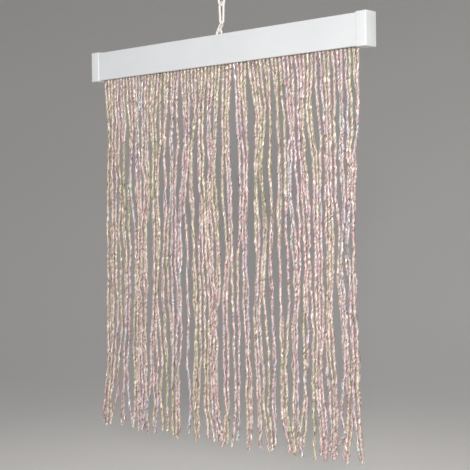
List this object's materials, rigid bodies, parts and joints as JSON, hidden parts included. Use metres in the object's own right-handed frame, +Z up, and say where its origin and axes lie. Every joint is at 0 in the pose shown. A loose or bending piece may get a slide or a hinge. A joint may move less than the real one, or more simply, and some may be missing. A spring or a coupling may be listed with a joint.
{
  "type": "string fly curtain with its head rail and hanging chain",
  "caption": "Short door curtain of free-hanging pearly twisted strands on a slim white rail with end caps, hung by an eye, links and a ring.",
  "frame": {"origin": "inside top of the hanging ring, where a hook bears", "axes": "+Z up, +X along the rail to its right end, -Y the face that looks into the room"},
  "size_m": [0.3064, 0.0137, 0.3979],
  "materials": {
    "rail": "satin extruded plastic, cool white",
    "cap": "moulded, soft gloss white",
    "strands": "twisted pearly film, silver, cream, pale pink and pale green",
    "wire": "plastic coated wire, warm white"
  },
  "bodies": {
    "root": {"head_rail": "rail", "end_cap_left": "cap", "end_cap_right": "cap", "strand_fringe": "strands", "hanging_eye": "wire", "small_link": "wire", "long_link_lower": "wire", "long_link_upper": "wire", "hanging_ring": "wire"}
  },
  "joints": []
}
